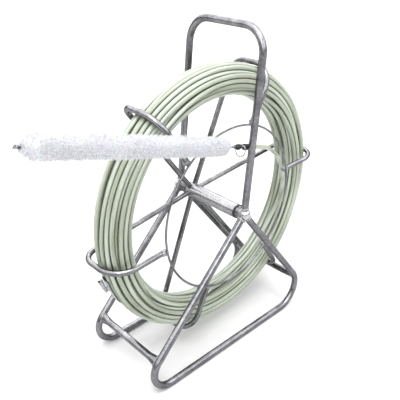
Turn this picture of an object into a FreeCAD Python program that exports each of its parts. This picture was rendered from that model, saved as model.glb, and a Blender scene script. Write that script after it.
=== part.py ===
import FreeCAD, Part
import math
import os
import Sketcher

# Duct-rodder reel: a fibreglass rod wound in a six-hoop wheel cage that turns on a tubular
# steel stand, with a twisted-wire brush on the rod's free end.
# Millimetres. Origin: on the floor under the middle of the axle. +X is the short-legged side,
# +Y runs along the axle from the open front of the cage to its spoked back, +Z is up.

DIMENSIONS = (
    # stand
    ("tube_outer", 13.0, "outside diameter of the bent stand tube"),
    ("tube_wall", 1.5, "wall of the stand tube"),
    ("axle_height", 284.5, "floor to axle axis"),
    ("frame_half_width", 85.0, "axle middle to a side frame's plane"),
    ("long_reach", 268.0, "axle to the corner point of the long leg and the base bar"),
    ("short_reach", 222.0, "axle to the corner point of the short leg and the base bar"),
    ("long_bend", 38.0, "centre-line bend radius at the long leg's foot"),
    ("short_bend", 45.0, "centre-line bend radius at the short leg's foot"),
    ("handle_top", 601.0, "floor to the axis of the carrying bar"),
    ("handle_lean", 32.0, "how far the carrying bar stands to +X of the axle"),
    ("handle_bend", 43.0, "centre-line bend radius of the handle"),
    ("long_bar_height", 70.0, "floor to the cross bar on the long legs"),
    ("short_bar_height", 68.0, "floor to the cross bar on the short legs"),
    ("bar_end_long", 20.0, "width of a cross bar's flattened end"),
    ("bar_end_short", 7.0, "thickness of a cross bar's flattened end"),
    ("bar_flare", 22.0, "length over which a cross bar flattens"),
    # axle
    ("axle_outer", 12.0, "diameter of the axle bolt"),
    ("axle_half_length", 96.0, "axle middle to the crown of the bolt head"),
    ("boss_outer", 22.0, "outside diameter of the axle bosses"),
    ("boss_inner_face", 78.0, "axle middle to the inner face of a boss"),
    ("boss_outer_face", 87.5, "axle middle to the outer face of a boss"),
    ("washer_outer", 21.5, "diameter of the axle washers"),
    ("washer_thickness", 1.5, "thickness of the axle washers"),
    ("bolt_head_outer", 19.0, "diameter of the axle bolt's domed head"),
    ("nut_across_corners", 20.8, "axle nut across corners"),
    ("thread_showing", 1.0, "bolt thread that stands out of the nut"),
    ("spacer_outer", 23.0, "outside diameter of the axle spacers"),
    ("bore_slack", 0.05, "radial running clearance on the axle"),
    # wheel cage
    ("hub_outer", 26.0, "outside diameter of the hub tube"),
    ("hub_inner", 22.0, "bore of the hub tube"),
    ("hub_front", -67.2, "front end of the hub tube along Y"),
    ("hub_back", 55.6, "back end of the hub tube along Y"),
    ("bush_flange", 3.0, "thickness of a bush's flange"),
    ("bush_plug", 14.0, "length of a bush inside the hub tube"),
    ("end_float", 0.3, "gap between a bush's flange and its spacer"),
    ("hoop_bar", 10.0, "diameter of the hoop bar"),
    ("hoop_count", 6, "hoops around the hub"),
    ("hoop_start_angle", 7.5, "direction of the first hoop above +X, in degrees"),
    ("hoop_radius", 259.0, "axle to the axis of a hoop's outer stretch"),
    ("spoke_hub_y", 49.0, "spoke axis at the hub, along Y"),
    ("spoke_rim_y", 42.0, "spoke axis at the rim, along Y"),
    ("finger_rim_y", -51.0, "finger axis at the rim, along Y"),
    ("finger_tip_y", -47.2, "finger axis at its tip, along Y"),
    ("finger_tip_radius", 154.0, "axle to a finger's tip, along its spoke"),
    ("finger_skew", 8.0, "how far a finger's tip stands to the side of its spoke"),
    ("hoop_back_bend", 26.0, "centre-line bend radius from spoke to outer stretch"),
    ("hoop_front_bend", 43.0, "centre-line bend radius from outer stretch to finger"),
    ("ring_radius", 155.0, "radius of the front ring"),
    ("ring_wire", 4.0, "wire diameter of the front ring"),
    # rod
    ("rod_outer", 8.0, "diameter of the fibreglass rod"),
    ("coil_outer_radius", 253.2, "outside radius of the wound rod"),
    ("coil_inner_radius", 196.6, "inside radius of the wound rod"),
    ("coil_front", -36.5, "front of the wound rod along Y"),
    ("coil_back", 27.5, "back of the wound rod along Y"),
    ("coil_corner", 27.5, "corner radius of the wound rod's section"),
    ("tape_thickness", 0.8, "thickness of the tape on the rod's tail"),
    ("tape_clearance", 0.1, "gap between the tape and the wound rod"),
    ("tape_length", 58.0, "length of the tape around the coil"),
    ("tape_width", 24.0, "width of the tape across the coil"),
    ("tape_angle", 201.0, "direction of the tape from the axle above +X, in degrees"),
    # brush
    ("ferrule_outer", 11.0, "diameter of the ferrule on the rod's end"),
    ("ferrule_length", 26.0, "length of the ferrule"),
    ("ferrule_cover", 4.0, "length of rod that shows inside the ferrule's mouth"),
    ("neck_outer", 5.0, "diameter of the ferrule's neck"),
    ("neck_length", 6.0, "length of the ferrule's neck"),
    ("swivel_outer", 10.0, "diameter of the swivel's turning head"),
    ("swivel_length", 15.0, "length of the swivel's turning head"),
    ("swivel_pin", 4.0, "diameter of the swivel's pin"),
    ("swivel_pin_length", 8.0, "length of the swivel's pin inside the head"),
    ("swivel_gap", 0.3, "gap between the neck's shoulder and the turning head"),
    ("swivel_clearance", 1.0, "room past the end of the swivel's pin"),
    ("keeper_radius", 10.1, "radius of the keeper ring"),
    ("keeper_wire", 1.8, "wire diameter of the keeper ring"),
    ("keeper_slack", 0.3, "gap between the neck and the ring hung on it"),
    ("stem_outer", 4.6, "diameter of the brush's twisted stem"),
    ("stem_length", 396.0, "length of the brush's stem"),
    ("bristle_outer", 33.0, "diameter over the bristles"),
    ("bristle_start", 19.0, "stem's start to the first bristles"),
    ("bristle_length", 368.0, "length of the bristles along the stem"),
    ("bristle_taper", 18.0, "length of the tapered tuft at each end"),
)

# The free end of the rod, from the inside of the coil up and forward to the ferrule. It follows
# the coil's inner side, bends in through the front ring and passes behind the handle's front leg.
ROD_LEAD = (
    (48.0, -9.0, 99.0),
    (75.0, -9.5, 108.0),
    (100.3, -10.0, 121.0),
    (123.0, -10.5, 138.0),
    (143.5, -11.0, 157.5),
    (160.0, -12.0, 178.5),
    (174.0, -15.0, 202.5),
    (183.5, -19.0, 228.5),
    (186.0, -23.0, 255.5),
    (180.5, -26.0, 281.5),
    (171.0, -28.5, 305.5),
    (157.0, -31.0, 328.0),
    (138.5, -35.0, 347.0),
    (118.0, -41.0, 361.5),
    (97.5, -50.5, 374.0),
    (75.5, -60.5, 384.5),
    (50.5, -68.0, 394.0),
    (24.0, -71.0, 402.4),
)

# The ferrule, swivel and brush share one straight axis from the rod's end to the brush's tip.
BRUSH_START = FreeCAD.Vector(24.0, -71.0, 402.4)
BRUSH_DIRECTION = FreeCAD.Vector(-410.0, -15.5, 119.4).normalize()

X_AXIS = FreeCAD.Vector(1, 0, 0)
Y_AXIS = FreeCAD.Vector(0, 1, 0)
Z_AXIS = FreeCAD.Vector(0, 0, 1)
ALONG_Y = FreeCAD.Rotation(Z_AXIS, Y_AXIS)

doc = FreeCAD.newDocument("duct_rodder_reel")
sheet = doc.addObject("Spreadsheet::Sheet", "dims")
for row, (alias, value, note) in enumerate(DIMENSIONS, start=1):
    sheet.set(f"A{row}", note)
    sheet.set(f"B{row}", str(value))
    sheet.setAlias(f"B{row}", alias)
doc.recompute()

nodes = []


def size(alias):
    """A dimension's value, for what is worked out in this file."""
    return float(sheet.get(alias))


def feature(kind, name, **expressions):
    """A document object whose sizes are bound to the sheet."""
    made = doc.addObject(kind, name)
    for prop, expression in expressions.items():
        made.setExpression(prop, expression)
    return made


def node(made):
    """Marks an object as a sub-part: its label names its file."""
    made.Label = made.Name
    nodes.append(made)
    return made


def cut(name, base, *tools):
    """The base with each tool taken away from it."""
    for index, tool in enumerate(tools):
        last = index == len(tools) - 1
        result = doc.addObject("Part::Cut", name if last else f"{name}_cut{index + 1}")
        result.Base = base
        result.Tool = tool
        base = result
    return base


def fuse(name, *shapes):
    """Several shapes as one solid."""
    result = doc.addObject("Part::MultiFuse", name)
    result.Shapes = list(shapes)
    result.Refine = True
    return result


def axle_cylinder(name, diameter, start, length):
    """A cylinder about the axle's axis, from one place along Y, sized by expressions."""
    made = feature("Part::Cylinder", name, Radius=f"({diameter}) / 2", Height=length)
    made.Placement = FreeCAD.Placement(FreeCAD.Vector(0, 0, 0), ALONG_Y)
    made.setExpression("Placement.Base.y", start)
    made.setExpression("Placement.Base.z", "dims.axle_height")
    return made


def axle_tube(name, outer, inner, start, length):
    """A tube about the axle's axis."""
    skin = axle_cylinder(f"{name}_skin", outer, start, length)
    bore = axle_cylinder(f"{name}_bore", inner, f"{start} - 1", f"{length} + 2")
    return cut(name, skin, bore)


def round_corners(points, radii):
    """One wire of straight runs joined by tangent arcs, a radius for each inner point."""
    start = points[0]
    edges = []
    for before, corner, after, radius in zip(points, points[1:], points[2:], radii):
        back = (before - corner).normalize()
        ahead = (after - corner).normalize()
        half_angle = back.getAngle(ahead) / 2
        entry = corner + back * (radius / math.tan(half_angle))
        leave = corner + ahead * (radius / math.tan(half_angle))
        inward = (back + ahead).normalize()
        middle = corner + inward * (radius / math.sin(half_angle) - radius)
        edges.append(Part.LineSegment(start, entry).toShape())
        edges.append(Part.Arc(entry, middle, leave).toShape())
        start = leave
    edges.append(Part.LineSegment(start, points[-1]).toShape())
    return Part.Wire(edges)


def path(name, points, radii):
    """A bent centre line as a document object."""
    made = doc.addObject("Part::Feature", f"{name}_path")
    made.Shape = round_corners(points, radii)
    return made


def bent_bar(name, line, diameter):
    """A round bar swept along a bent centre line."""
    first = line.Shape.OrderedEdges[0]
    section = feature("Part::Circle", f"{name}_section", Radius=f"({diameter}) / 2")
    turn = FreeCAD.Rotation(Z_AXIS, first.tangentAt(first.FirstParameter))
    section.Placement = FreeCAD.Placement(first.valueAt(first.FirstParameter), turn)
    made = doc.addObject("Part::Sweep", name)
    made.Sections = [section]
    made.Spine = (line, [f"Edge{number + 1}" for number in range(len(line.Shape.Edges))])
    made.Solid = True
    made.Frenet = False
    return made


def bent_tube(name, points, radii, *tools):
    """A stand tube along a bent centre line, with its ends coped by the tools."""
    line = path(name, points, radii)
    skin = bent_bar(f"{name}_skin", line, "dims.tube_outer")
    bore = bent_bar(f"{name}_bore", line, "dims.tube_outer - 2 * dims.tube_wall")
    return cut(name, skin, bore, *tools)


def side_frame(name, y):
    """One triangular side of the stand: long leg, base bar and short leg in one bent tube."""
    floor = size("tube_outer") / 2
    apex = FreeCAD.Vector(0, y, size("axle_height"))
    long_corner = FreeCAD.Vector(-size("long_reach"), y, floor)
    short_corner = FreeCAD.Vector(size("short_reach"), y, floor)
    bends = (size("long_bend"), size("short_bend"))
    return node(bent_tube(name, (apex, long_corner, short_corner, apex), bends, boss_space))


def carry_handle(name):
    """The inverted U that is welded to both bosses."""
    y = size("frame_half_width")
    low = size("axle_height")
    lean = size("handle_lean")
    top = size("handle_top")
    points = (
        FreeCAD.Vector(0, -y, low),
        FreeCAD.Vector(lean, -y, top),
        FreeCAD.Vector(lean, y, top),
        FreeCAD.Vector(0, y, low),
    )
    bend = size("handle_bend")
    return node(bent_tube(name, points, (bend, bend), boss_space))


def cross_bar(name, x, height, along):
    """A bar between the side frames, flattened along the tube that each end is welded to."""
    outward = size("frame_half_width") - size("tube_outer") / 4
    round_end = outward - size("bar_flare")
    turn = FreeCAD.Rotation(along, Z_AXIS, Y_AXIS, "XZY")
    sections = []
    for index, y in enumerate((-outward, -round_end, round_end, outward)):
        flattened = index in (0, 3)
        section = feature("Part::Ellipse", f"{name}_section{index + 1}")
        section.setExpression("MajorRadius", "dims.bar_end_long / 2" if flattened else "dims.tube_outer / 2")
        section.setExpression("MinorRadius", "dims.bar_end_short / 2" if flattened else "dims.tube_outer / 2")
        section.Placement = FreeCAD.Placement(FreeCAD.Vector(x, y, height), turn)
        sections.append(section)
    loft = doc.addObject("Part::Loft", f"{name}_loft")
    loft.Sections = sections
    loft.Solid = True
    loft.Ruled = True
    skins = [doc.getObject(f"{side}_side_frame_skin") for side in ("front", "back")]
    return node(cut(name, loft, *skins))


def long_leg_cross_bar():
    """The cross bar on the long legs' straight stretch."""
    height = size("long_bar_height")
    along = FreeCAD.Vector(-size("long_reach"), 0, size("tube_outer") / 2 - size("axle_height"))
    x = along.x * (size("axle_height") - height) / -along.z
    return cross_bar("long_leg_cross_bar", x, height, along.normalize())


def short_leg_cross_bar():
    """The cross bar at the short legs' feet, outside the circle that the wheel cage sweeps."""
    height = size("short_bar_height")
    bend = size("short_bend")
    floor = size("tube_outer") / 2
    corner_angle = math.atan2(size("axle_height") - floor, size("short_reach"))
    bend_x = size("short_reach") - bend / math.tan(corner_angle / 2)
    rise = height - floor - bend
    run = math.sqrt(bend ** 2 - rise ** 2)
    along = FreeCAD.Vector(-rise, 0, run)
    return cross_bar("short_leg_cross_bar", bend_x + run, height, along.normalize())


def hoop(name, line, angle, hub_space):
    """One hoop: a spoke behind the coil, a stretch over it and a finger down its front."""
    bar = bent_bar(f"{name}_bar", line, "dims.hoop_bar")
    coped = node(cut(name, bar, hub_space))
    turn = FreeCAD.Rotation(Y_AXIS, -angle)
    coped.Placement = FreeCAD.Placement(FreeCAD.Vector(0, 0, size("axle_height")), turn)
    return coped


def wound_rod(name):
    """The rod's turns as one ring with a rounded section."""
    body = doc.addObject("PartDesign::Body", name)
    sketch = body.newObject("Sketcher::SketchObject", f"{name}_section")
    plane = next(item for item in body.Origin.OriginFeatures if item.Role == "XY_Plane")
    sketch.AttachmentSupport = (plane, "")
    sketch.MapMode = "FlatFace"
    inner, outer = size("coil_inner_radius"), size("coil_outer_radius")
    front, back = size("coil_front"), size("coil_back")
    corners = ((inner, front), (outer, front), (outer, back), (inner, back))
    for index, corner in enumerate(corners):
        after = corners[(index + 1) % len(corners)]
        sketch.addGeometry(Part.LineSegment(FreeCAD.Vector(*corner, 0), FreeCAD.Vector(*after, 0)))
    for index in range(len(corners)):
        sketch.addConstraint(Sketcher.Constraint("Coincident", index, 2, (index + 1) % len(corners), 1))
    for index in (0, 2):
        sketch.addConstraint(Sketcher.Constraint("Horizontal", index))
        sketch.addConstraint(Sketcher.Constraint("Vertical", index + 1))
    bounds = (
        ("DistanceX", -1, 1, 0, 1, "dims.coil_inner_radius", inner),
        ("DistanceX", -1, 1, 0, 2, "dims.coil_outer_radius", outer),
        ("DistanceY", 0, 1, -1, 1, "-dims.coil_front", -front),
        ("DistanceY", -1, 1, 2, 1, "dims.coil_back", back),
    )
    for kind, first, first_end, second, second_end, expression, value in bounds:
        number = sketch.addConstraint(Sketcher.Constraint(kind, first, first_end, second, second_end, value))
        sketch.setExpression(f"Constraints[{number}]", expression)
    ring = body.newObject("PartDesign::Revolution", f"{name}_ring")
    ring.Profile = sketch
    ring.ReferenceAxis = (sketch, ["V_Axis"])
    ring.Angle = 360
    doc.recompute()
    rounding = body.newObject("PartDesign::Fillet", f"{name}_rounding")
    rims = [number for number, edge in enumerate(ring.Shape.Edges, start=1) if is_circle(edge)]
    rounding.Base = (ring, [f"Edge{number}" for number in rims])
    rounding.setExpression("Radius", "dims.coil_corner")
    body.Tip = rounding
    body.setExpression("Placement.Base.z", "dims.axle_height")
    return node(body)


def is_circle(edge):
    """True for a circular edge."""
    return isinstance(edge.Curve, Part.Circle)


def tail_tape(name):
    """A strip of tape over the outside of the coil and its back corner, where the rod's tail ends."""
    corner_radius = size("coil_outer_radius") - size("coil_corner")
    corner_y = size("coil_back") - size("coil_corner")
    flat = size("tape_width") / 2
    lifts = {"over": "(dims.tape_thickness + dims.tape_clearance)", "under": "dims.tape_clearance"}
    shells = []
    for part, lift in lifts.items():
        corner = feature("Part::Torus", f"{name}_{part}_corner", Radius2=f"dims.coil_corner + {lift}")
        corner.setExpression("Radius1", "dims.coil_outer_radius - dims.coil_corner")
        corner.Placement = FreeCAD.Placement(FreeCAD.Vector(0, corner_y, size("axle_height")), ALONG_Y)
        across = f"2 * (dims.coil_outer_radius + {lift})"
        drum = axle_cylinder(f"{name}_{part}_drum", across, f"{corner_y - flat}", f"{flat}")
        shells.append(fuse(f"{name}_{part}", corner, drum))
    strip = cut(f"{name}_strip", *shells)
    angle = size("tape_angle")
    radial = FreeCAD.Rotation(Y_AXIS, -angle).multVec(X_AXIS)
    middle = FreeCAD.Vector(0, corner_y - flat, size("axle_height")) + radial * corner_radius
    block = feature("Part::Box", f"{name}_block", Length="dims.coil_corner * 2")
    block.setExpression("Width", "dims.tape_width")
    block.setExpression("Height", "dims.tape_length")
    turn = FreeCAD.Rotation(Y_AXIS, -angle)
    shift = turn.multVec(FreeCAD.Vector(0, 0, -size("tape_length") / 2))
    block.Placement = FreeCAD.Placement(middle + shift, turn)
    patch = doc.addObject("Part::Common", name)
    patch.Base = strip
    patch.Tool = block
    return node(patch)


def brush_place(station):
    """The placement that points +Z along the brush's axis, a distance from the rod's end."""
    turn = FreeCAD.Rotation(Z_AXIS, BRUSH_DIRECTION)
    return FreeCAD.Placement(BRUSH_START + BRUSH_DIRECTION * station, turn)


def brush_cylinder(name, diameter, station, length):
    """A cylinder on the brush's axis."""
    made = feature("Part::Cylinder", name, Radius=f"({diameter}) / 2", Height=length)
    made.Placement = brush_place(station)
    return made


def rod_lead(name):
    """The free end of the rod, as a tube of straight runs joined by arcs."""
    points = [FreeCAD.Vector(*point) for point in ROD_LEAD]
    runs = [(after - before).Length for before, after in zip(points, points[1:])]
    radii = []
    for index in range(1, len(points) - 1):
        turn = (points[index] - points[index - 1]).getAngle(points[index + 1] - points[index])
        radii.append(0.45 * min(runs[index - 1], runs[index]) / math.tan(turn / 2))
    print("rod_lead arc radii, mm:", " ".join(f"{radius:.0f}" for radius in radii))
    line = path(name, points, radii)
    made = node(bent_bar(name, line, "dims.rod_outer"))
    doc.recompute()
    section_area = math.pi * size("rod_outer") ** 2 / 4
    ratio = made.Shape.Volume / (section_area * line.Shape.Length)
    print(f"rod_lead length {line.Shape.Length:.0f} mm, volume over section times length {ratio:.4f}")
    return made


# --- stand -------------------------------------------------------------------------------
half_width = size("frame_half_width")
past_tubes = "(dims.frame_half_width + dims.tube_outer)"
boss_space = axle_cylinder("boss_space", "dims.boss_outer", f"-{past_tubes}", f"2 * {past_tubes}")
side_frame("front_side_frame", -half_width)
side_frame("back_side_frame", half_width)
carry_handle("carry_handle")
long_leg_cross_bar()
short_leg_cross_bar()

# --- axle --------------------------------------------------------------------------------
boss = ("dims.boss_outer", "dims.axle_outer")
boss_length = "(dims.boss_outer_face - dims.boss_inner_face)"
node(axle_tube("front_axle_boss", *boss, "-dims.boss_outer_face", boss_length))
node(axle_tube("back_axle_boss", *boss, "dims.boss_inner_face", boss_length))

head_face = "(dims.boss_outer_face + dims.washer_thickness)"
shaft_length = f"{head_face} + dims.axle_half_length"
shaft = axle_cylinder("axle_shaft", "dims.axle_outer", f"-{head_face}", shaft_length)
crown = feature("Part::Ellipsoid", "axle_crown", Radius1=f"dims.axle_half_length - {head_face}")
crown.setExpression("Radius2", "dims.bolt_head_outer / 2")
crown.setExpression("Radius3", "dims.bolt_head_outer / 2")
crown.Angle1 = 0
crown.Placement = FreeCAD.Placement(FreeCAD.Vector(0, 0, 0), FreeCAD.Rotation(Z_AXIS, -Y_AXIS))
crown.setExpression("Placement.Base.y", f"-{head_face}")
crown.setExpression("Placement.Base.z", "dims.axle_height")
node(fuse("axle_bolt", shaft, crown))

washer = ("dims.washer_outer", "dims.axle_outer")
washer_pair = doc.addObject("Part::Compound", "axle_washers")
washer_pair.Links = [
    axle_tube("front_washer", *washer, f"-{head_face}", "dims.washer_thickness"),
    axle_tube("back_washer", *washer, "dims.boss_outer_face", "dims.washer_thickness"),
]
node(washer_pair)

nut_blank = feature("Part::Prism", "axle_nut_blank", Circumradius="dims.nut_across_corners / 2")
nut_blank.Polygon = 6
nut_blank.setExpression("Height", f"dims.axle_half_length - {head_face} - dims.thread_showing")
nut_blank.Placement = FreeCAD.Placement(FreeCAD.Vector(0, 0, 0), ALONG_Y)
nut_blank.setExpression("Placement.Base.y", head_face)
nut_blank.setExpression("Placement.Base.z", "dims.axle_height")
nut_bore = axle_cylinder("axle_nut_bore", "dims.axle_outer", "dims.boss_outer_face", "dims.boss_outer_face")
node(cut("axle_nut", nut_blank, nut_bore))

front_flange = "(dims.hub_front - dims.bush_flange)"
back_flange = "(dims.hub_back + dims.bush_flange)"
spacer = ("dims.spacer_outer", "dims.axle_outer")
front_gap = f"(dims.boss_inner_face + {front_flange} - dims.end_float)"
back_gap = f"(dims.boss_inner_face - {back_flange} - dims.end_float)"
node(axle_tube("front_axle_spacer", *spacer, "-dims.boss_inner_face", front_gap))
node(axle_tube("back_axle_spacer", *spacer, f"{back_flange} + dims.end_float", back_gap))

# --- wheel cage --------------------------------------------------------------------------
hub = ("dims.hub_outer", "dims.hub_inner")
node(axle_tube("hub_tube", *hub, "dims.hub_front", "(dims.hub_back - dims.hub_front)"))
for name, flange_start, plug_start in (
    ("front_hub_bush", front_flange, "dims.hub_front"),
    ("back_hub_bush", "dims.hub_back", "dims.hub_back - dims.bush_plug"),
):
    flange = axle_cylinder(f"{name}_flange", "dims.hub_outer", flange_start, "dims.bush_flange")
    plug = axle_cylinder(f"{name}_plug", "dims.hub_inner", plug_start, "dims.bush_plug")
    running_bore = "dims.axle_outer + 2 * dims.bore_slack"
    bore = axle_cylinder(f"{name}_bore", running_bore, f"{plug_start} - dims.bush_plug", "3 * dims.bush_plug")
    node(cut(name, fuse(f"{name}_blank", flange, plug), bore))

hub_wall = (size("hub_outer") + size("hub_inner")) / 4
hoop_points = (
    FreeCAD.Vector(hub_wall, size("spoke_hub_y"), 0),
    FreeCAD.Vector(size("hoop_radius"), size("spoke_rim_y"), 0),
    FreeCAD.Vector(size("hoop_radius"), size("finger_rim_y"), 0),
    FreeCAD.Vector(size("finger_tip_radius"), size("finger_tip_y"), size("finger_skew")),
)
hoop_line = path("hoop", hoop_points, (size("hoop_back_bend"), size("hoop_front_bend")))
hub_space = feature("Part::Cylinder", "hub_space", Radius="dims.hub_outer / 2", Height="dims.hub_back")
hub_space.Placement = FreeCAD.Placement(FreeCAD.Vector(0, 0, 0), ALONG_Y)
hoop_step = 360 / size("hoop_count")
for number in range(int(size("hoop_count"))):
    hoop(f"hoop_{number + 1}", hoop_line, size("hoop_start_angle") + hoop_step * number, hub_space)

front_ring = feature("Part::Torus", "front_ring", Radius1="dims.ring_radius", Radius2="dims.ring_wire / 2")
front_ring.Placement = FreeCAD.Placement(FreeCAD.Vector(0, 0, 0), ALONG_Y)
front_ring.setExpression("Placement.Base.y", "dims.finger_tip_y - dims.hoop_bar / 2 - dims.ring_wire / 2")
front_ring.setExpression("Placement.Base.z", "dims.axle_height")
node(front_ring)

# --- rod ---------------------------------------------------------------------------------
wound_rod("rod_coil")
tail_tape("tail_tape")
lead = rod_lead("rod_lead")

# --- ferrule, swivel and brush -----------------------------------------------------------
neck_start = size("ferrule_length") - size("ferrule_cover")
head_start = neck_start + size("neck_length") + size("swivel_gap")
stem_start = head_start + size("swivel_length")

sleeve = brush_cylinder("ferrule_sleeve", "dims.ferrule_outer", -size("ferrule_cover"), "dims.ferrule_length")
neck = brush_cylinder("ferrule_neck", "dims.neck_outer", neck_start, "dims.neck_length")
pin_length = "dims.swivel_gap + dims.swivel_pin_length"
pin = brush_cylinder("ferrule_pin", "dims.swivel_pin", neck_start + size("neck_length"), pin_length)
node(cut("rod_ferrule", fuse("ferrule_blank", sleeve, neck, pin), lead))

head = brush_cylinder("swivel_blank", "dims.swivel_outer", head_start, "dims.swivel_length")
socket_bore = "dims.swivel_pin + 2 * dims.bore_slack"
socket_length = "dims.swivel_pin_length + 2 * dims.swivel_clearance"
socket = brush_cylinder("swivel_socket", socket_bore, head_start - size("swivel_clearance"), socket_length)
node(cut("swivel_head", head, socket))

node(brush_cylinder("brush_stem", "dims.stem_outer", stem_start, "dims.stem_length"))

tuft_start = stem_start + size("bristle_start")
tuft_end = tuft_start + size("bristle_length")
taper = size("bristle_taper")
tufts = (
    ("bristle_near", "dims.stem_outer", "dims.bristle_outer / 2", "dims.bristle_taper", tuft_start),
    ("bristle_middle", "dims.bristle_outer / 2", "dims.bristle_outer / 2",
     "dims.bristle_length - 2 * dims.bristle_taper", tuft_start + taper),
    ("bristle_far", "dims.bristle_outer / 2", "dims.stem_outer", "dims.bristle_taper", tuft_end - taper),
)
cones = []
for name, near_radius, far_radius, length, station in tufts:
    kind = "Part::Cylinder" if near_radius == far_radius else "Part::Cone"
    cone = feature(kind, name, Height=length)
    if kind == "Part::Cone":
        cone.setExpression("Radius1", near_radius)
        cone.setExpression("Radius2", far_radius)
    else:
        cone.setExpression("Radius", near_radius)
    cone.Placement = brush_place(station)
    cones.append(cone)
stem_space = brush_cylinder("stem_space", "dims.stem_outer", stem_start, "dims.stem_length")
node(cut("brush_bristles", fuse("bristle_blank", *cones), stem_space))

# The keeper ring hangs on the ferrule's neck, in the plane across the brush's axis.
keeper = feature("Part::Torus", "keeper_ring", Radius1="dims.keeper_radius", Radius2="dims.keeper_wire / 2")
hang = size("keeper_radius") - size("keeper_wire") / 2 - size("neck_outer") / 2 - size("keeper_slack")
down = (BRUSH_DIRECTION * BRUSH_DIRECTION.z - Z_AXIS).normalize()
middle = brush_place(neck_start + size("neck_length") / 2)
keeper.Placement = FreeCAD.Placement(middle.Base + down * hang, middle.Rotation)
node(keeper)

# --- checks and files --------------------------------------------------------------------
doc.recompute()
for item in doc.Objects:
    if "Invalid" in item.State or "Error" in item.State:
        raise RuntimeError(f"{item.Name} failed: {item.State}")
os.makedirs("parts", exist_ok=True)
for item in nodes:
    if item.Shape.isNull() or not item.Shape.isValid():
        raise RuntimeError(f"{item.Label} has no valid shape")
for item in nodes:
    item.Shape.exportStep(f"parts/{item.Label}.step")
print(f"{len(nodes)} sub-parts written")
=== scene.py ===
import math
import random

import bmesh
import bpy
import numpy as np
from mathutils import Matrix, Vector


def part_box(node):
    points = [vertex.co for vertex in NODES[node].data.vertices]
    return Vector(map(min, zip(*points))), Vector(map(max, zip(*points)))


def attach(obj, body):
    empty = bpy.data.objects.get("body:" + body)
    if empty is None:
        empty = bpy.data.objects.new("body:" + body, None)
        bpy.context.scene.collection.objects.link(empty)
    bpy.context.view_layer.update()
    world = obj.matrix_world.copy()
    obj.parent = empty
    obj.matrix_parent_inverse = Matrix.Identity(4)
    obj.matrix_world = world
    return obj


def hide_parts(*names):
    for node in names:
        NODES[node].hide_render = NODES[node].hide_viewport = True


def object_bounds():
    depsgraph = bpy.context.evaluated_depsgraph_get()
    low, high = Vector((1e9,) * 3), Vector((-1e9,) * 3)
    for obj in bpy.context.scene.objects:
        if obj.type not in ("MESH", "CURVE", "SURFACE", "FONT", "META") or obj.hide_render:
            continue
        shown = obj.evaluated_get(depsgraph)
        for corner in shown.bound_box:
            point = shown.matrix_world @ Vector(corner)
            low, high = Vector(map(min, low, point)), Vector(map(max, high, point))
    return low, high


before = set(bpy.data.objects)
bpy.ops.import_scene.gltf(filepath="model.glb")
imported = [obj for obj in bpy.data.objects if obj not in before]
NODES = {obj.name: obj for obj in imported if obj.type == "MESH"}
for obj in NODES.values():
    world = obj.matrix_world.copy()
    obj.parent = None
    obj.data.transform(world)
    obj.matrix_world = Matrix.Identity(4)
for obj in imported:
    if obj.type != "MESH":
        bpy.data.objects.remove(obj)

# A fibreglass duct rodder in a wheel cage on a bent-tube stand, with a brush on the rod's end.
# The axle runs along Y. Everything is in metres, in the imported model's frame.

CAD_BOX = [[float(v) for v in corner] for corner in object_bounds()]

AXLE = Vector((0, 0, 0.2845))
ROD = 0.008                # diameter
TUBE_RADIUS = 0.0065       # of the stand's tube
SIDE_PLANE = 0.085         # from the axle's middle to a side frame's plane
TAU = 2 * math.pi


# ---------------------------------------------------------------- camera

camera_data = bpy.data.cameras.new("camera")
camera_data.lens = 48.94
camera_data.sensor_width = 36
camera = bpy.data.objects.new("camera", camera_data)
camera.location = (-0.6340, -0.6430, 0.7565)
aim = Vector((-0.0277, 0, 0.2910)) - camera.location
camera.rotation_euler = aim.to_track_quat("-Z", "Y").to_euler()
bpy.context.collection.objects.link(camera)
bpy.context.scene.camera = camera


# ---------------------------------------------------------------- materials

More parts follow.
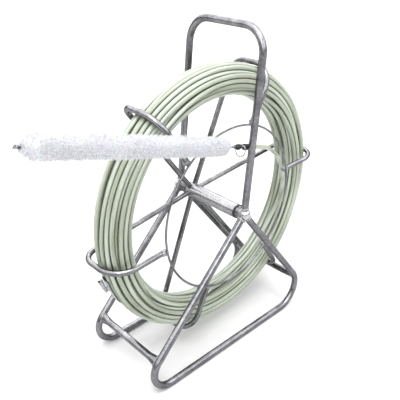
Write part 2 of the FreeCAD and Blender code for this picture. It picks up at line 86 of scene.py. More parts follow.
class Shader:
    """A material's node tree, with short calls to add and wire its nodes."""

    def __init__(self, name):
        self.material = bpy.data.materials.new(name)
        self.material.use_nodes = True
        self.tree = self.material.node_tree
        self.bsdf = self.tree.nodes["Principled BSDF"]
        self.place = self.tree.nodes.new("ShaderNodeTexCoord").outputs["Object"]

    def add(self, kind, **settings):
        made = self.tree.nodes.new(kind)
        for key, value in settings.items():
            setattr(made, key, value)
        return made

    def feed(self, socket, value):
        """A constant, or a link from another node's output."""
        if isinstance(value, bpy.types.NodeSocket):
            self.tree.links.new(value, socket)
        else:
            socket.default_value = value

    def maths(self, operation, first, second=0.0, clamp=False):
        made = self.add("ShaderNodeMath", operation=operation, use_clamp=clamp)
        self.feed(made.inputs[0], first)
        self.feed(made.inputs[1], second)
        return made.outputs[0]

    def noise(self, scale, detail=3.0, roughness=0.5, place=None):
        made = self.add("ShaderNodeTexNoise")
        self.feed(made.inputs["Vector"], self.place if place is None else place)
        made.inputs["Scale"].default_value = scale
        made.inputs["Detail"].default_value = detail
        made.inputs["Roughness"].default_value = roughness
        return made.outputs["Fac"]

    def cells(self, scale, place=None):
        made = self.add("ShaderNodeTexVoronoi")
        self.feed(made.inputs["Vector"], self.place if place is None else place)
        made.inputs["Scale"].default_value = scale
        return made.outputs["Color"]

    def stretch(self, scales):
        """The object's coordinates, each multiplied by its own factor."""
        made = self.add("ShaderNodeMapping")
        self.feed(made.inputs["Vector"], self.place)
        made.inputs["Scale"].default_value = scales
        return made.outputs["Vector"]

    def ramp(self, value, *stops):
        """A colour ramp through (position, colour) stops."""
        made = self.add("ShaderNodeValToRGB")
        self.feed(made.inputs["Fac"], value)
        elements = made.color_ramp.elements
        while len(elements) < len(stops):
            elements.new(0.5)
        for element, (position, colour) in zip(elements, stops):
            element.position = position
            element.color = (*colour, 1)
        return made.outputs["Color"]

    def remap(self, value, low, high, new_low, new_high):
        made = self.add("ShaderNodeMapRange")
        limits = {"From Min": low, "From Max": high, "To Min": new_low, "To Max": new_high}
        for key, number in limits.items():
            made.inputs[key].default_value = number
        self.feed(made.inputs["Value"], value)
        return made.outputs["Result"]

    def mix(self, factor, first, second, blend="MIX"):
        made = self.add("ShaderNodeMix", data_type="RGBA", blend_type=blend)
        self.feed(made.inputs["Factor"], factor)
        self.feed(made.inputs["A"], first)
        self.feed(made.inputs["B"], second)
        return made.outputs["Result"]

    def bump(self, height, distance, strength=1.0, under=None):
        made = self.add("ShaderNodeBump")
        made.inputs["Distance"].default_value = distance
        made.inputs["Strength"].default_value = strength
        self.feed(made.inputs["Height"], height)
        if under is not None:
            self.feed(made.inputs["Normal"], under)
        return made.outputs["Normal"]

    def set(self, **values):
        """Principled sockets by name, with _ for a space."""
        for key, value in values.items():
            self.feed(self.bsdf.inputs[key.replace("_", " ")], value)
        return self.material


def zinc(name, dark, light, smooth, rough):
    """Zinc plate on steel: cloudy brightness, a faint crystal pattern, fine scratches and grime."""
    s = Shader(name)
    cloud = s.noise(34, 4, 0.6)
    fine = s.noise(420, 3, 0.6)
    crystals = s.cells(190)
    scratch = s.noise(1, 2, 0.6, s.stretch((60, 900, 60)))
    tone = s.maths("ADD", s.maths("MULTIPLY", cloud, 0.55), s.maths("MULTIPLY", fine, 0.45))
    middle = [0.5 * (a + b) for a, b in zip(dark, light)]
    colour = s.ramp(tone, (0.34, dark), (0.52, middle), (0.68, light))
    crystals = s.maths("ADD", s.maths("MULTIPLY", crystals, 0.5), 0.25)
    colour = s.mix(0.3, colour, crystals, "SOFT_LIGHT")
    grime = s.remap(s.noise(60, 5, 0.7), 0.62, 0.80, 0.0, 0.18)
    colour = s.mix(grime, colour, (0.20, 0.19, 0.18, 1))
    gloss = s.remap(s.maths("ADD", cloud, s.maths("MULTIPLY", scratch, 0.5)), 0.45, 1.05, smooth, rough)
    normal = s.bump(scratch, 0.00003, 0.5, s.bump(s.noise(1500, 2), 0.00003, 0.6))
    s.set(Specular_Tint=(0.55, 0.55, 0.57, 1))
    return s.set(Base_Color=colour, Metallic=1.0, Roughness=gloss, Normal=normal)


def fibreglass():
    """Pale green glass-fibre rod: tones that differ from strand to strand, fibre streaks, and painted shade
    in the gaps between turns.
    """
    s = Shader("fibreglass_rod")
    split = s.add("ShaderNodeSeparateXYZ")
    s.feed(split.inputs[0], s.place)
    x, y = split.outputs["X"], split.outputs["Y"]
    z = s.maths("SUBTRACT", split.outputs["Z"], AXLE.z)
    squares = s.maths("ADD", s.maths("MULTIPLY", x, x), s.maths("MULTIPLY", z, z))
    radius = s.maths("SQRT", squares)
    turn = s.maths("ARCTAN2", z, x)

    def along(across_scale, round_scale):
        made = s.add("ShaderNodeCombineXYZ")
        s.feed(made.inputs[0], s.maths("MULTIPLY", radius, across_scale))
        s.feed(made.inputs[1], s.maths("MULTIPLY", y, across_scale))
        s.feed(made.inputs[2], s.maths("MULTIPLY", s.maths("SINE", turn), round_scale))
        return made.outputs[0]

    strand = s.noise(1, 1, 0.4, along(110, 2.2))
    streak = s.noise(1, 3, 0.6, along(2400, 30))
    cloud = s.noise(18, 3, 0.5)
    tone = s.maths("ADD", s.maths("MULTIPLY", strand, 0.6), s.maths("MULTIPLY", streak, 0.25))
    tone = s.maths("ADD", tone, s.maths("MULTIPLY", cloud, 0.15))
    colour = s.ramp(
        tone, (0.33, (0.25, 0.275, 0.19)), (0.50, (0.44, 0.485, 0.395)), (0.66, (0.59, 0.655, 0.575)))
    scuff = s.remap(s.noise(260, 5, 0.75), 0.62, 0.80, 0.0, 0.30)
    colour = s.mix(scuff, colour, (0.66, 0.68, 0.62, 1))
    # Painted shade: ambient occlusion pulls the rod's colour towards dark olive in the gaps between turns,
    # where shade falls.
    crevice = s.add("ShaderNodeAmbientOcclusion", samples=6)
    crevice.inputs["Distance"].default_value = 0.009
    dirt_and_painted_shade = s.remap(crevice.outputs["AO"], 0.15, 0.85, 0.90, 0.0)
    colour = s.mix(dirt_and_painted_shade, colour, (0.10, 0.11, 0.065, 1))
    gloss = s.remap(s.maths("ADD", streak, cloud), 0.6, 1.4, 0.24, 0.46)
    normal = s.bump(streak, 0.00006, 0.6, s.bump(s.noise(900, 2), 0.00002, 0.6))
    s.set(Base_Color=colour, Roughness=gloss, Normal=normal)
    s.set(Subsurface_Weight=0.06, Subsurface_Scale=0.003, Subsurface_Radius=(0.9, 1.0, 0.6))
    return s.set(Coat_Weight=0.15, Coat_Roughness=0.25, IOR=1.52)


def nylon_black():
    s = Shader("black_nylon")
    cloud = s.noise(90, 4, 0.6)
    colour = s.ramp(cloud, (0.35, (0.010, 0.010, 0.012)), (0.65, (0.035, 0.035, 0.040)))
    gloss = s.remap(cloud, 0.3, 0.7, 0.34, 0.56)
    return s.set(Base_Color=colour, Roughness=gloss, Normal=s.bump(s.noise(1800, 2), 0.00004, 0.5))


def black_steel():
    s = Shader("black_steel")
    cloud = s.noise(150, 4, 0.65)
    wear = s.remap(s.noise(420, 4, 0.7), 0.58, 0.74, 0.0, 0.75)
    colour = s.ramp(cloud, (0.35, (0.012, 0.012, 0.014)), (0.65, (0.045, 0.045, 0.050)))
    colour = s.mix(wear, colour, (0.30, 0.30, 0.32, 1))
    gloss = s.remap(cloud, 0.3, 0.7, 0.28, 0.5)
    return s.set(Base_Color=colour, Metallic=0.8, Roughness=gloss, Normal=s.bump(cloud, 0.00005, 0.6))


def wire():
    s = Shader("stem_wire")
    cloud = s.noise(240, 4, 0.6)
    colour = s.ramp(cloud, (0.35, (0.10, 0.10, 0.11)), (0.65, (0.34, 0.34, 0.36)))
    gloss = s.remap(cloud, 0.3, 0.7, 0.26, 0.5)
    return s.set(Base_Color=colour, Metallic=1.0, Roughness=gloss, Normal=s.bump(cloud, 0.00004, 0.6))


def bristle_nylon(name, low, high):
    s = Shader(name)
    cloud = s.maths("MULTIPLY", s.noise(40, 2), 0.25)
    strands = s.maths("MULTIPLY", s.noise(1400, 2), 0.75)
    tone = s.maths("ADD", cloud, strands)
    colour = s.ramp(tone, (0.36, low), (0.62, high))
    gloss = s.remap(tone, 0.3, 0.7, 0.38, 0.6)
    s.set(Base_Color=colour, Roughness=gloss, Subsurface_Weight=0.15, Subsurface_Scale=0.003)
    return s.set(Sheen_Weight=0.2, Sheen_Roughness=0.4, Normal=s.bump(s.noise(900, 3), 0.00005, 0.5))


def tape_material():
    """Grey cloth tape, blotched with dirt, painted black as shade where the edge layer says so."""
    s = Shader("tail_tape")
    weave = s.noise(1, 2, 0.5, s.stretch((1600, 1600, 1600)))
    dirt_and_painted_shade = s.noise(130, 5, 0.7)
    colour = s.ramp(
        dirt_and_painted_shade, (0.36, (0.17, 0.175, 0.18)), (0.50, (0.36, 0.37, 0.375)), (0.66, (0.50, 0.51, 0.515)))
    edge = s.add("ShaderNodeVertexColor", layer_name="edge").outputs["Color"]
    # Painted shade: the edge layer turns the tape near black at its borders and the tab's root.
    colour = s.mix(edge, colour, (0.012, 0.012, 0.012, 1))
    gloss = s.remap(dirt_and_painted_shade, 0.3, 0.7, 0.42, 0.7)
    return s.set(Base_Color=colour, Roughness=gloss, Normal=s.bump(weave, 0.00008, 0.7))


def weld_metal():
    """Weld metal under zinc: rippled and duller than the bars."""
    s = Shader("weld")
    cloud = s.noise(260, 5, 0.65)
    colour = s.ramp(
        cloud, (0.34, (0.14, 0.135, 0.13)), (0.52, (0.28, 0.28, 0.29)), (0.68, (0.48, 0.48, 0.49)))
    gloss = s.remap(cloud, 0.3, 0.7, 0.3, 0.55)
    normal = s.bump(s.noise(700, 3, 0.6), 0.0002, 0.8)
    return s.set(Base_Color=colour, Metallic=1.0, Roughness=gloss, Normal=normal)


def floor_material():
    s = Shader("floor")
    tone = s.noise(6, 4, 0.5)
    colour = s.ramp(tone, (0.3, (0.84, 0.84, 0.84)), (0.7, (0.87, 0.87, 0.87)))
    return s.set(Base_Color=colour, Roughness=0.7, Specular_IOR_Level=0.1)


TUBE = zinc("stand_tube", (0.085, 0.085, 0.092), (0.27, 0.27, 0.285), 0.16, 0.31)
BAR = zinc("cage_bar", (0.085, 0.085, 0.090), (0.28, 0.28, 0.29), 0.15, 0.31)
HARDWARE = zinc("zinc_hardware", (0.36, 0.36, 0.38), (0.68, 0.68, 0.69), 0.14, 0.32)
HUB = zinc("hub_zinc", (0.22, 0.22, 0.23), (0.38, 0.38, 0.39), 0.20, 0.38)
FIBREGLASS = fibreglass()
NYLON = nylon_black()
BLACK = black_steel()
WIRE = wire()
BRISTLE = bristle_nylon("nylon_bristle", (0.70, 0.705, 0.735), (0.79, 0.795, 0.825))
# Painted shade: a darker copy of the same white nylon, for the dense inner mass that shows between the
# bristles.
BRISTLE_PAINTED_SHADE = bristle_nylon("nylon_bristle_painted_shade", (0.50, 0.505, 0.535), (0.64, 0.645, 0.675))
TAPE = tape_material()
WELD = weld_metal()


# ---------------------------------------------------------------- building pieces

def piece(name, data, material, body, nodes=()):
    """Links a new object with its material, rides it on a body, and hides the CAD nodes it stands in for.
    """
    made = bpy.data.objects.new(name, data)
    bpy.context.collection.objects.link(made)
    data.materials.append(material)
    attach(made, body)
    if nodes:
        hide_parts(*nodes)
    return made


def mesh_from(name, vertices, faces, smooth=True):
    """A mesh with outward normals."""
    mesh = bpy.data.meshes.new(name)
    mesh.from_pydata([tuple(v) for v in vertices], [], faces)
    shell = bmesh.new()
    shell.from_mesh(mesh)
    bmesh.ops.recalc_face_normals(shell, faces=shell.faces)
    shell.to_mesh(mesh)
    shell.free()
    if smooth:
        mesh.shade_smooth()
    return mesh


def basis(axis):
    """Two unit vectors that with the axis make a right-handed set."""
    axis = Vector(axis).normalized()
    side = axis.cross(Vector((0, 0, 1)) if abs(axis.z) < 0.9 else Vector((1, 0, 0))).normalized()
    return side, axis.cross(side)


def around(side, up, angle):
    """The unit vector at an angle from side towards up."""
    return side * math.cos(angle) + up * math.sin(angle)


def on_wheel(radius, y, angle):
    """A point by its distance from the axle, its place along it and its angle above +X."""
    return Vector((radius * math.cos(angle), y, AXLE.z + radius * math.sin(angle)))


def drum_faces(rings, sides):
    """The faces between rings of vertices that follow each other, and a cap on each end."""
    faces = []
    for ring in range(rings - 1):
        for step in range(sides):
            a, b = ring * sides + step, ring * sides + (step + 1) % sides
            faces.append((a, b, b + sides, a + sides))
    faces.append(tuple(reversed(range(sides))))
    faces.append(tuple(range((rings - 1) * sides, rings * sides)))
    return faces


def sheet_faces(long_steps, wide_steps):
    """The faces of a thin closed sheet: a lower grid of vertices, an upper one, and the rim between."""
    row = wide_steps + 1
    count = (long_steps + 1) * row
    faces = []
    for i in range(long_steps):
        for j in range(wide_steps):
            a = i * row + j
            faces.append((a, a + 1, a + row + 1, a + row))
            faces.append((count + a, count + a + row, count + a + row + 1, count + a + 1))
    for i in range(long_steps):
        for a in (i * row, i * row + wide_steps):
            faces.append((a, a + row, count + a + row, count + a))
    for j in range(wide_steps):
        for a in (j, long_steps * row + j):
            faces.append((a, a + 1, count + a + 1, count + a))
    return faces


def lathe(name, profile, origin, axis, sides=48, crease=0.6):
    """A turned solid: (station, radius) pairs along an axis, closed at both ends."""
    axis = Vector(axis).normalized()
    side, up = basis(axis)
    vertices = []
    for station, radius in profile:
        for step in range(sides):
            out = around(side, up, TAU * step / sides)
            vertices.append(Vector(origin) + axis * station + out * radius)
    mesh = mesh_from(name, vertices, drum_faces(len(profile), sides))
    mesh.set_sharp_from_angle(angle=crease)
    return mesh


def tube(points, radii, sides=8, closed=False):
    """Vertices and faces of a tube along points. Its frames turn with the path without twisting."""
    points = [Vector(p) for p in points]
    count = len(points)
    vertices, faces = [], []
    side = None
    for i, point in enumerate(points):
        after = points[(i + 1) % count] if closed or i < count - 1 else point
        before = points[i - 1] if closed or i > 0 else point
        forward = (after - before).normalized()
        side = basis(forward)[0] if side is None else (side - forward * side.dot(forward)).normalized()
        up = forward.cross(side)
        radius = radii[i] if hasattr(radii, "__len__") else radii
        for step in range(sides):
            vertices.append(point + around(side, up, TAU * step / sides) * radius)
    for i in range(count if closed else count - 1):
        j = (i + 1) % count
        for step in range(sides):
            after = (step + 1) % sides
            faces.append((i * sides + step, i * sides + after, j * sides + after, j * sides + step))
    if not closed:
        faces.append(tuple(reversed(range(sides))))
        faces.append(tuple((count - 1) * sides + step for step in range(sides)))
    return vertices, faces


def gather(parts):
    """Several (vertices, faces) pairs as one pair."""
    vertices, faces = [], []
    for more, sides in parts:
        start = len(vertices)
        vertices += more
        faces += [tuple(start + i for i in face) for face in sides]
    return vertices, faces


def nurbs(name, points, radius, resolution):
    """A round rod along one NURBS spline with these control points."""
    curve = bpy.data.curves.new(name, "CURVE")
    curve.dimensions = "3D"
    curve.bevel_depth = radius
    curve.bevel_resolution = 3
    curve.use_fill_caps = True
    curve.resolution_u = resolution
    spline = curve.splines.new("NURBS")
    spline.points.add(len(points) - 1)
    for target, point in zip(spline.points, points):
        target.co = (*point, 1)
    spline.order_u = 3
    spline.use_endpoint_u = True
    return curve


def spline_length(made):
    """The length of a curve object's own centre line."""
    plain = made.data.copy()
    plain.bevel_depth = 0
    probe = bpy.data.objects.new("probe", plain)
    mesh = bpy.data.meshes.new_from_object(probe)
    points = [v.co.copy() for v in mesh.vertices]
    bpy.data.objects.remove(probe)
    bpy.data.meshes.remove(mesh)
    bpy.data.curves.remove(plain)
    return sum((b - a).length for a, b in zip(points, points[1:]))


# ---------------------------------------------------------------- the wound rod

# The rod's free end, from where it leaves the coil to the ferrule.
LEAD = (
    (0.0480, -0.0090, 0.0990),
    (0.0750, -0.0095, 0.1080),
    (0.1003, -0.0100, 0.1210),
    (0.1230, -0.0105, 0.1380),
    (0.1435, -0.0110, 0.1575),
    (0.1600, -0.0120, 0.1785),
    (0.1740, -0.0150, 0.2025),
    (0.1835, -0.0190, 0.2285),
    (0.1860, -0.0230, 0.2555),
    (0.1805, -0.0260, 0.2815),
    (0.1710, -0.0285, 0.3055),
    (0.1570, -0.0310, 0.3280),
    (0.1385, -0.0350, 0.3470),
    (0.1180, -0.0410, 0.3615),
    (0.0975, -0.0505, 0.3740),
    (0.0755, -0.0605, 0.3845),
    (0.0505, -0.0680, 0.3940),
    (0.0240, -0.0710, 0.4024),
)

STATIONS = 18                             # control points in one turn
TURNS = 41
ROWS = (4, 6, 7, 8, 7, 6, 4)              # turns side by side in each layer, from the outside in
TAIL_ANGLE = 199.0                        # the taped tail, degrees above +X
TAIL_PLACES = ((0.0062, 0.0241), (0.0062, 0.0241), (0.0060, 0.0241))
WOUND_RADIUS = 0.0039                     # just under the rod's, so that turns that touch stay apart
COIL_INNER, COIL_OUTER = 0.1966, 0.2532
COIL_FRONT, COIL_BACK = -0.0365, 0.0275
COIL_CORNER = 0.0275
DRIFTS = ((0.9, 0.0030), (0.37, 0.0022), (2.7, 0.0045), (6.1, 0.0050))   # (turns in a wave, its size)
PUSH_ROUNDS, SMOOTHED_ROUNDS = 600, 420
PUSH_SMOOTHED, PUSH_CALM = 0.35, 0.45
SMOOTHING = 0.10
SPACING = 1.02 * ROD
LIFT_OFF = ((0.0005, -0.0086, 0.0860), (0.0255, -0.0088, 0.0909), LEAD[0])
LIFT_OFF_GAP = 0.030


def section_slots():
    """Places for the turns in the coil's section, as (across, radius) from its middle, layer by layer."""
    half = np.array([(COIL_BACK - COIL_FRONT) / 2, (COIL_OUTER - COIL_INNER) / 2]) - ROD / 2
    corner = COIL_CORNER - ROD / 2
    slots = []
    for row, count in enumerate(ROWS):
        radius = half[1] - 2 * half[1] * row / (len(ROWS) - 1)
        inset = max(0.0, corner - (half[1] - abs(radius)))
        width = half[0] - corner + math.sqrt(max(0.0, corner ** 2 - inset ** 2))
        start = width if row % 2 == 0 else -width
        across = np.linspace(start, -start, count)
        slots += [(value, radius) for value in across]
    return np.array(slots), half, corner


def keep_inside(points, half, corner):
    """Moves section points back inside the rounded rectangle."""
    inner = half - corner
    core = np.clip(points, -inner, inner)
    out = points - core
    reach = np.linalg.norm(out, axis=-1, keepdims=True)
    scale = np.where(reach > corner, corner / np.maximum(reach, 1e-9), 1.0)
    return core + out * scale


def wind():
    """Control points of the wound rod. The turns drift from slot to slot and push each other apart."""
    chance = np.random.default_rng(11)
    slots, half, corner = section_slots()
    step = 360.0 / STATIONS
    last = TURNS * STATIONS + 4
    index = np.arange(last + 1)
    turn = index / STATIONS
    low = np.minimum(turn.astype(int), len(slots) - 1)
    high = np.minimum(low + 1, len(slots) - 1)
    part = turn - low
    part = part * part * (3 - 2 * part)
    points = slots[low] * (1 - part[:, None]) + slots[high] * part[:, None]
    waves = np.zeros_like(points)
    for period, size in DRIFTS:
        phase = chance.uniform(0, TAU, 2)
        drift = np.cumsum(chance.normal(0, 0.25, points.shape), axis=0)
        waves += size * np.sin(TAU * turn[:, None] / period + phase + drift)
    points = points + waves
    middle_y, middle_r = (COIL_BACK + COIL_FRONT) / 2, (COIL_OUTER + COIL_INNER) / 2
    for number in range(PUSH_ROUNDS):
        calm = number > SMOOTHED_ROUNDS
        for station in range(STATIONS):
            chosen = index[station::STATIONS]
            here = points[chosen]
            gap = here[:, None, :] - here[None, :, :]
            reach = np.linalg.norm(gap, axis=2)
            np.fill_diagonal(reach, 1.0)
            push = np.maximum(0.0, SPACING - reach)[:, :, None] * gap / reach[:, :, None]
            points[chosen] = here + (PUSH_CALM if calm else PUSH_SMOOTHED) * push.sum(axis=1)
        if not calm:
            points[1:-1] += SMOOTHING * (0.5 * (points[:-2] + points[2:]) - points[1:-1])
        points = keep_inside(points, half, corner)
        points[:len(TAIL_PLACES)] = TAIL_PLACES
    angles = np.radians(TAIL_ANGLE + index * step)
    swell = 1.0 / (0.75 + 0.25 * math.cos(math.radians(step)))
    radius = (middle_r + points[:, 1]) * swell
    across = middle_y + points[:, 0]
    made = np.stack([radius * np.cos(angles), across, AXLE.z + radius * np.sin(angles)], axis=1)
    return [tuple(float(v) for v in p) for p in made]


def past_lift_off(point):
    """Whether a point of the coil lies too near the place where the rod leaves it, or beyond that."""
    x, _, z = LIFT_OFF[0]
    return math.hypot(point[0] - x, point[2] - z) < LIFT_OFF_GAP or point[0] > x


turns = wind()
while past_lift_off(turns[-1]):
    turns.pop()
turns += LIFT_OFF

coil = piece("wound_rod", nurbs("wound_rod", turns[::-1], WOUND_RADIUS, 5),
             FIBREGLASS, "wheel_cage", ["rod_coil"])
lead = piece("free_rod", nurbs("free_rod", LEAD, ROD / 2, 12),
             FIBREGLASS, "stand", ["rod_lead"])
COIL_LENGTH = spline_length(coil)
LEAD_LENGTH = spline_length(lead)


# ---------------------------------------------------------------- ferrule, swivel, brush

BRUSH_START = Vector(LEAD[-1])
BRUSH_AXIS = Vector((-0.4100, -0.0155, 0.1194)).normalized()
BRUSH_SIDE, BRUSH_UP = basis(BRUSH_AXIS)
# Stations along the brush's axis, from the end of the rod.
STEM_START, STEM_END = 0.0433, 0.4393
BRISTLE_START, BRISTLE_END = 0.0655, 0.4310
BRISTLE_RADIUS = 0.0165
NEAR_TAPER, FAR_TAPER = 0.014, 0.016      # how far the bristles take to reach their full length
LEAN_ZONE = 0.016                         # the end bristles lean over this far
WIRE_RADIUS = 0.00112
WIRE_PITCH = 0.0085
BRISTLE_PITCH = 0.0084
TIP_RINGS = ((0.4345, 0.0028), (0.4366, 0.0031), (0.4386, 0.0024))   # (station, outside radius)
TIP_RING_WIRE = 0.0010
TIP_COUNT = 11000


def on_brush(station, radius=0.0, angle=0.0):
    """A point by its distance along the brush's axis, its distance from it and its direction round it."""
    return BRUSH_START + BRUSH_AXIS * station + around(BRUSH_SIDE, BRUSH_UP, angle) * radius


def turned_on_brush(name, profile, material, body, node):
    """A turned piece on the brush's line."""
    return piece(name, lathe(name, profile, BRUSH_START, BRUSH_AXIS, 40), material, body, [node])


def crimped(start, end, radius, crimps, depth=0.0005):
    """A profile with rolled crimp grooves and chamfered ends."""
    profile = [(start, radius - 0.0006), (start + 0.0006, radius)]
    for at in crimps:
        for shift, cut in ((-0.0009, 0), (-0.0005, 0.75), (0, 1), (0.0005, 0.75), (0.0009, 0)):
            profile.append((at + shift, radius - depth * cut))
    return profile + [(end - 0.0006, radius), (end, radius - 0.0006)]


# Profiles of the turned pieces, as (station, radius).
FERRULE_PROFILE = (
    (-0.0040, 0.0041), *crimped(-0.0040, 0.0190, 0.0055, (0.001, 0.0045, 0.008, 0.0115)),
    (0.0206, 0.0043), (0.0220, 0.0034), (0.0221, 0.0026),
)
NECK_PROFILE = ((0.0218, 0.0026), (0.0232, 0.0025), (0.0272, 0.0025), (0.0278, 0.0032), (0.0280, 0.0032))
HEAD_PROFILE = (
    (0.0283, 0.0030), (0.0290, 0.0036), (0.0304, 0.0046), (0.0318, 0.0050), (0.0336, 0.0050),
    (0.0339, 0.0047), (0.0344, 0.0047), (0.0347, 0.0050), (0.0362, 0.0050), (0.0374, 0.0045),
    (0.0388, 0.0036), (0.0433, 0.0030), (0.0433, 0.0012),
)
ferrule = turned_on_brush("ferrule", FERRULE_PROFILE, BLACK, "stand", "rod_ferrule")
neck = turned_on_brush("ferrule_neck", NECK_PROFILE, HARDWARE, "stand", "rod_ferrule")
head = turned_on_brush("swivel", HEAD_PROFILE, BLACK, "brush", "swivel_head")


def twisted_stem():
    """Two wires twisted together, the far end crimped over the last bristles."""
    parts = []
    steps = 900
    for phase in (0, math.pi):
        line, sizes = [], []
        for i in range(steps + 1):
            part = i / steps
            station = STEM_START - 0.001 + (STEM_END - STEM_START) * part
            tight = 1.0 if part < 0.985 else 1.0 - 0.35 * (part - 0.985) / 0.015
            line.append(on_brush(station, WIRE_RADIUS * tight, phase + TAU * station / WIRE_PITCH))
            sizes.append(WIRE_RADIUS * (1.0 if part < 0.995 else 0.8))
        parts.append(tube(line, sizes, 8))
    for station, size in TIP_RINGS:
        ring = []
        for a in np.linspace(0, TAU, 25)[:-1]:
            wavy = station + 0.0010 * math.sin(a * 2 + station * 900)
            ring.append(on_brush(wavy, size - TIP_RING_WIRE, a))
        parts.append(tube(ring, TIP_RING_WIRE, 8, closed=True))
    return mesh_from("brush_stem_wires", *gather(parts))


piece("brush_stem_wires", twisted_stem(), WIRE, "brush", ["brush_stem"])


def bristle_reach(station):
    """How far the bristles reach from the stem at a station: shorter at the brush's ends."""
    near = min(1.0, (station - BRISTLE_START) / NEAR_TAPER)
    far = min(1.0, (BRISTLE_END - station) / FAR_TAPER)
    swell = 1.02 + 0.11 * (station - BRISTLE_START) / (BRISTLE_END - BRISTLE_START)
    round_end = 0.50 + 0.50 * math.sqrt(1 - (1 - near) ** 2)
    return swell * BRISTLE_RADIUS * round_end * (0.28 + 0.72 * far ** 0.7)


def bristle_mass():
    """The dense inner part of the bristles, ridged where the wires hold them in turns."""
    chance = random.Random(5)
    sides, rings = 56, 260
    vertices = []
    for i in range(rings + 1):
        station = BRISTLE_START + 0.001 + (BRISTLE_END - BRISTLE_START - 0.002) * i / rings
        for step in range(sides):
            a = TAU * step / sides
            ridge = math.cos(2 * a - TAU * station / (BRISTLE_PITCH / 2))
            radius = bristle_reach(station) * (0.80 + 0.035 * ridge + chance.uniform(-0.025, 0.025))
            if i in (0, rings):
                radius *= 0.55
            vertices.append(on_brush(station, radius, a))
    return mesh_from("bristle_mass", vertices, drum_faces(rings + 1, sides))


def bristle_tips(count):
    """The bristles' outer parts, each a thin three-sided filament from inside the dense part to past it."""
    chance = random.Random(8)
    vertices, faces = [], []
    for number in range(count):
        station = chance.uniform(BRISTLE_START, BRISTLE_END)
        angle = TAU * station / BRISTLE_PITCH + (math.pi if number % 2 else 0) + chance.gauss(0, 0.62)
        reach = bristle_reach(station) * min(1.06, chance.gauss(0.955, 0.050))
        lean = chance.gauss(0, 0.10)
        if station - BRISTLE_START < LEAN_ZONE:
            lean -= 0.2 * (1 - (station - BRISTLE_START) / LEAN_ZONE)
        if BRISTLE_END - station < LEAN_ZONE:
            lean += 0.25 * (1 - (BRISTLE_END - station) / LEAN_ZONE)
        bend = chance.gauss(0, 0.09)
        start = len(vertices)
        round_way = BRUSH_AXIS.cross(around(BRUSH_SIDE, BRUSH_UP, angle))
        for part, width in ((0.62, 0.00036), (0.84, 0.00034), (1.0, 0.00026)):
            shift = lean * reach * (part - 0.25)
            middle = on_brush(station + shift, reach * part, angle + bend * (part - 0.5))
            for corner in range(3):
                vertices.append(middle + around(BRUSH_AXIS, round_way, TAU * corner / 3 + number) * width)
        for ring in (0, 1):
            for corner in range(3):
                a, b = start + ring * 3 + corner, start + ring * 3 + (corner + 1) % 3
                faces.append((a, b, b + 3, a + 3))
        faces.append((start + 6, start + 7, start + 8))
    mesh = bpy.data.meshes.new("bristle_tips")
    mesh.from_pydata([tuple(v) for v in vertices], [], faces)
    return mesh


# The inner mass wears the darker copy of the nylon as painted shade.
piece("bristle_mass", bristle_mass(), BRISTLE_PAINTED_SHADE, "brush", ["brush_bristles"])
piece("bristle_tips", bristle_tips(TIP_COUNT), BRISTLE, "brush", ["brush_bristles"])


# ---------------------------------------------------------------- tape on the tail

TAB_ANGLE, PATCH_ANGLE = math.radians(199.2), math.radians(201.0)
TAB_HALF_LENGTH, PATCH_HALF_LENGTH = 0.0165, 0.0285     # round the coil
PATCH_WIDTH = 0.024


def tape_tab():
    """The tape's end folded on itself: a small tab that stands off the coil, with painted shade where it
    joins.
    """
    long_steps, out_steps = 18, 8
    low, high, edges = [], [], []
    for i in range(long_steps + 1):
        u = 2 * i / long_steps - 1
        angle = TAB_ANGLE + u * TAB_HALF_LENGTH / COIL_OUTER
        for j in range(out_steps + 1):
            v = j / out_steps
            radius = COIL_OUTER + 0.0002 + (0.0068 - 0.0014 * u) * v
            y = 0.0095 + 0.0009 * math.sin(2.6 * u + 2.0 * v) + 0.0022 * v * v
            for lift, shell in ((-0.0004, low), (0.0004, high)):
                shell.append(on_wheel(radius, y + lift, angle))
            # Painted shade: black along the tab's root, where it meets the coil, and on the outer half of
            # its near end.
            edges.append(1.0 if v < 0.14 or (u < -0.75 and v > 0.5) else 0.0)
    return low + high, sheet_faces(long_steps, out_steps), edges * 2


def tape_patch():
    """Tape wrapped over the coil's back outer corner, following the turns under it, with painted shade
    along its borders.
    """
    corner_y, corner_r = COIL_BACK - COIL_CORNER, COIL_OUTER - COIL_CORNER
    long_steps, wide_steps = 40, 30
    half_turn = PATCH_HALF_LENGTH / COIL_OUTER
    low, high, edges = [], [], []
    for i in range(long_steps + 1):
        u = 2 * i / long_steps - 1
        angle = PATCH_ANGLE + u * half_turn
        for j in range(wide_steps + 1):
            w = j / wide_steps
            y = PATCH_WIDTH * (w - 0.5)
            ripple = 0.00026 * math.sin(TAU * w * 2.9 + 0.5 * math.sin(3 * u))
            ripple += 0.00012 * math.sin(9 * u + 5 * w)
            round_corner = math.asin(max(0.0, y) / COIL_CORNER)
            for lift, shell in ((0.00010, low), (0.00050 + 0.8 * ripple, high)):
                across = corner_y + y + lift * math.sin(round_corner)
                radius = corner_r + (COIL_CORNER + lift) * math.cos(round_corner)
                shell.append(on_wheel(radius, across, angle))
            # Painted shade: black bands along both ends of the patch and its front border, for the gap
            # between the tape and the turns.
            edges.append(1.0 if abs(u) > 0.88 or w < 0.12 else 0.0)
    return low + high, sheet_faces(long_steps, wide_steps), edges * 2


def tape_mesh():
    """The wrap and its tab as one mesh, with a layer that marks the black edges of painted shade."""
    patch, patch_faces, patch_edges = tape_patch()
    tab, tab_faces, tab_edges = tape_tab()
    mesh = mesh_from("tape", *gather([(patch, patch_faces), (tab, tab_faces)]))
    mesh.set_sharp_from_angle(angle=0.9)
    layer = mesh.color_attributes.new("edge", "FLOAT_COLOR", "POINT")
    for i, value in enumerate(patch_edges + tab_edges):
        layer.data[i].color = (value, value, value, 1)
    return mesh


piece("tape", tape_mesh(), TAPE, "wheel_cage", ["tail_tape"])


# ---------------------------------------------------------------- axle details and welds

